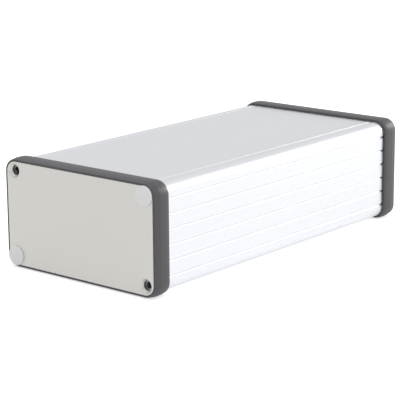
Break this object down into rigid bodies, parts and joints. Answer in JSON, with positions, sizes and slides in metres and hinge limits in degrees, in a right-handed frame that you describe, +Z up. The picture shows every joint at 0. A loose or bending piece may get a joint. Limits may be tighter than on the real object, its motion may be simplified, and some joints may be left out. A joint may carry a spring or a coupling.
{
  "type": "extruded aluminium enclosure",
  "caption": "Box for circuit boards: an extruded channel with card guides and screw bosses, a cover that slides in, and end panels framed by moulded bezels and closed with push-in plugs.",
  "frame": {"origin": "on the plane it stands on, under the middle of the enclosure", "axes": "+X to the right seen from the front, +Y from the front end to the rear end along the extrusion, +Z up"},
  "size_m": [0.0806, 0.1666, 0.0456],
  "materials": {
    "anodised_body": "clear anodised, satin, fine die lines along the length",
    "anodised_panel": "clear anodised, even matt",
    "bezel_plastic": "dark grey moulding, fine spark-eroded texture",
    "plug_nylon": "natural translucent nylon, satin"
  },
  "bodies": {
    "body": {"body_extrusion": "anodised_body"},
    "cover": {"slide_cover": "anodised_body"},
    "front_cap": {"front_bezel": "bezel_plastic", "front_panel": "anodised_panel", "front_plug_upper": "plug_nylon", "front_plug_lower": "plug_nylon"},
    "rear_cap": {"rear_bezel": "bezel_plastic", "rear_panel": "anodised_panel", "rear_plug_upper": "plug_nylon", "rear_plug_lower": "plug_nylon"}
  },
  "joints": [
    {"name": "front_cap_pull", "type": "slide", "parent": "body", "child": "front_cap", "axis": [0, -1, 0], "range_m": [0, 0.22]},
    {"name": "cover_slide", "type": "slide", "parent": "body", "child": "cover", "axis": [0, -1, 0], "range_m": [0, 0.165]},
    {"name": "rear_cap_pull", "type": "slide", "parent": "body", "child": "rear_cap", "axis": [0, 1, 0], "range_m": [0, 0.03]}
  ],
  "couplings": [
    {"joint": "cover_slide", "follows": "front_cap_pull", "ratio": 0.75}
  ]
}
